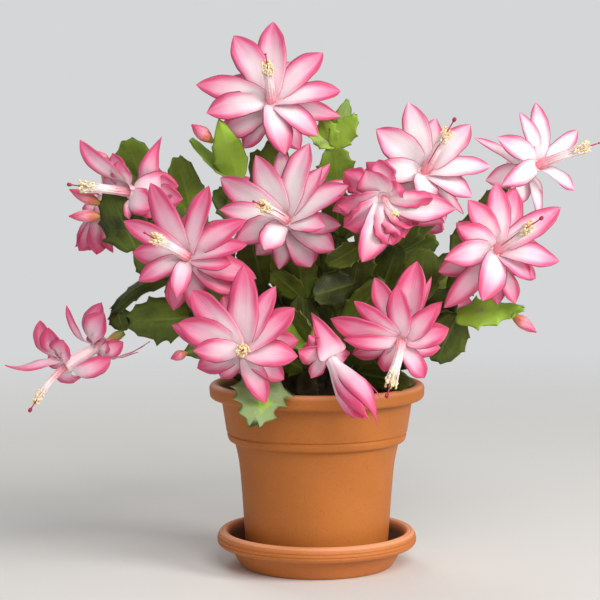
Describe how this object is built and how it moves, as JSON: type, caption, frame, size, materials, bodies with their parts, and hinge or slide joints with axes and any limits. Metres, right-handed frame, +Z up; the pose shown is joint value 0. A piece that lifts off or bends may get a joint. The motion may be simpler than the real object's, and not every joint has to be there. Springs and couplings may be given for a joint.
{
  "type": "potted holiday cactus",
  "caption": "Flowering holiday cactus with flat toothed stem segments and pink and white blooms, in a round plastic pot standing on its saucer.",
  "frame": {"origin": "middle of the saucer's flat underside, on the surface it stands on", "axes": "+Z up along the pot's axis; -Y towards the side that most flowers face; +X to the right of a viewer facing that side"},
  "size_m": [0.3507, 0.2379, 0.3273],
  "materials": {
    "pot": "matt terracotta-coloured moulded plastic with a fine speckle",
    "saucer": "matt terracotta-coloured moulded plastic, a little paler than the pot",
    "soil": null,
    "stem": "waxy green flat stem segments, satin, paler along edges and midrib",
    "petals": "soft satin petals, white in the middle, pink at edges and tips",
    "stamens": "white-pink filaments with cream anthers and a magenta style",
    "bud": "satin rose-pink bud with a greenish base"
  },
  "bodies": {
    "root": {"branch_back_left": "stem", "branch_back_right": "stem", "branch_centre": "stem", "branch_far_left": "stem", "branch_far_right": "stem", "branch_front": "stem", "branch_left": "stem", "branch_low_left": "stem", "branch_lower_left": "stem", "branch_lower_right": "stem", "branch_middle": "stem", "branch_pale_left": "stem", "branch_right": "stem", "branch_top": "stem", "branch_top_right": "stem", "branch_upper_left": "stem", "branch_upper_right": "stem", "bud_left_lower": "bud", "bud_left_upper": "bud", "bud_low_left": "bud", "bud_right": "bud", "bud_top_left": "bud", "bud_upper_left": "bud", "flower_back_left_petals": "petals", "flower_back_left_stamens": "stamens", "flower_back_low_petals": "petals", "flower_back_low_stamens": "stamens", "flower_back_right_petals": "petals", "flower_back_right_stamens": "stamens", "flower_centre_petals": "petals", "flower_centre_stamens": "stamens", "flower_drooping_petals": "petals", "flower_far_left_petals": "petals", "flower_far_left_stamens": "stamens", "flower_far_right_petals": "petals", "flower_far_right_stamens": "stamens", "flower_hanging_left_petals": "petals", "flower_hanging_left_stamens": "stamens", "flower_left_petals": "petals", "flower_left_stamens": "stamens", "flower_lower_left_petals": "petals", "flower_lower_left_stamens": "stamens", "flower_lower_right_petals": "petals", "flower_lower_right_stamens": "stamens", "flower_right_petals": "petals", "flower_right_stamens": "stamens", "flower_ruffled_petals": "petals", "flower_ruffled_stamens": "stamens", "flower_top_petals": "petals", "flower_top_stamens": "stamens", "flower_upper_left_petals": "petals", "flower_upper_left_stamens": "stamens", "flower_upper_right_petals": "petals", "flower_upper_right_stamens": "stamens", "pot": "pot", "saucer": "saucer", "soil": "soil"}
  },
  "joints": []
}
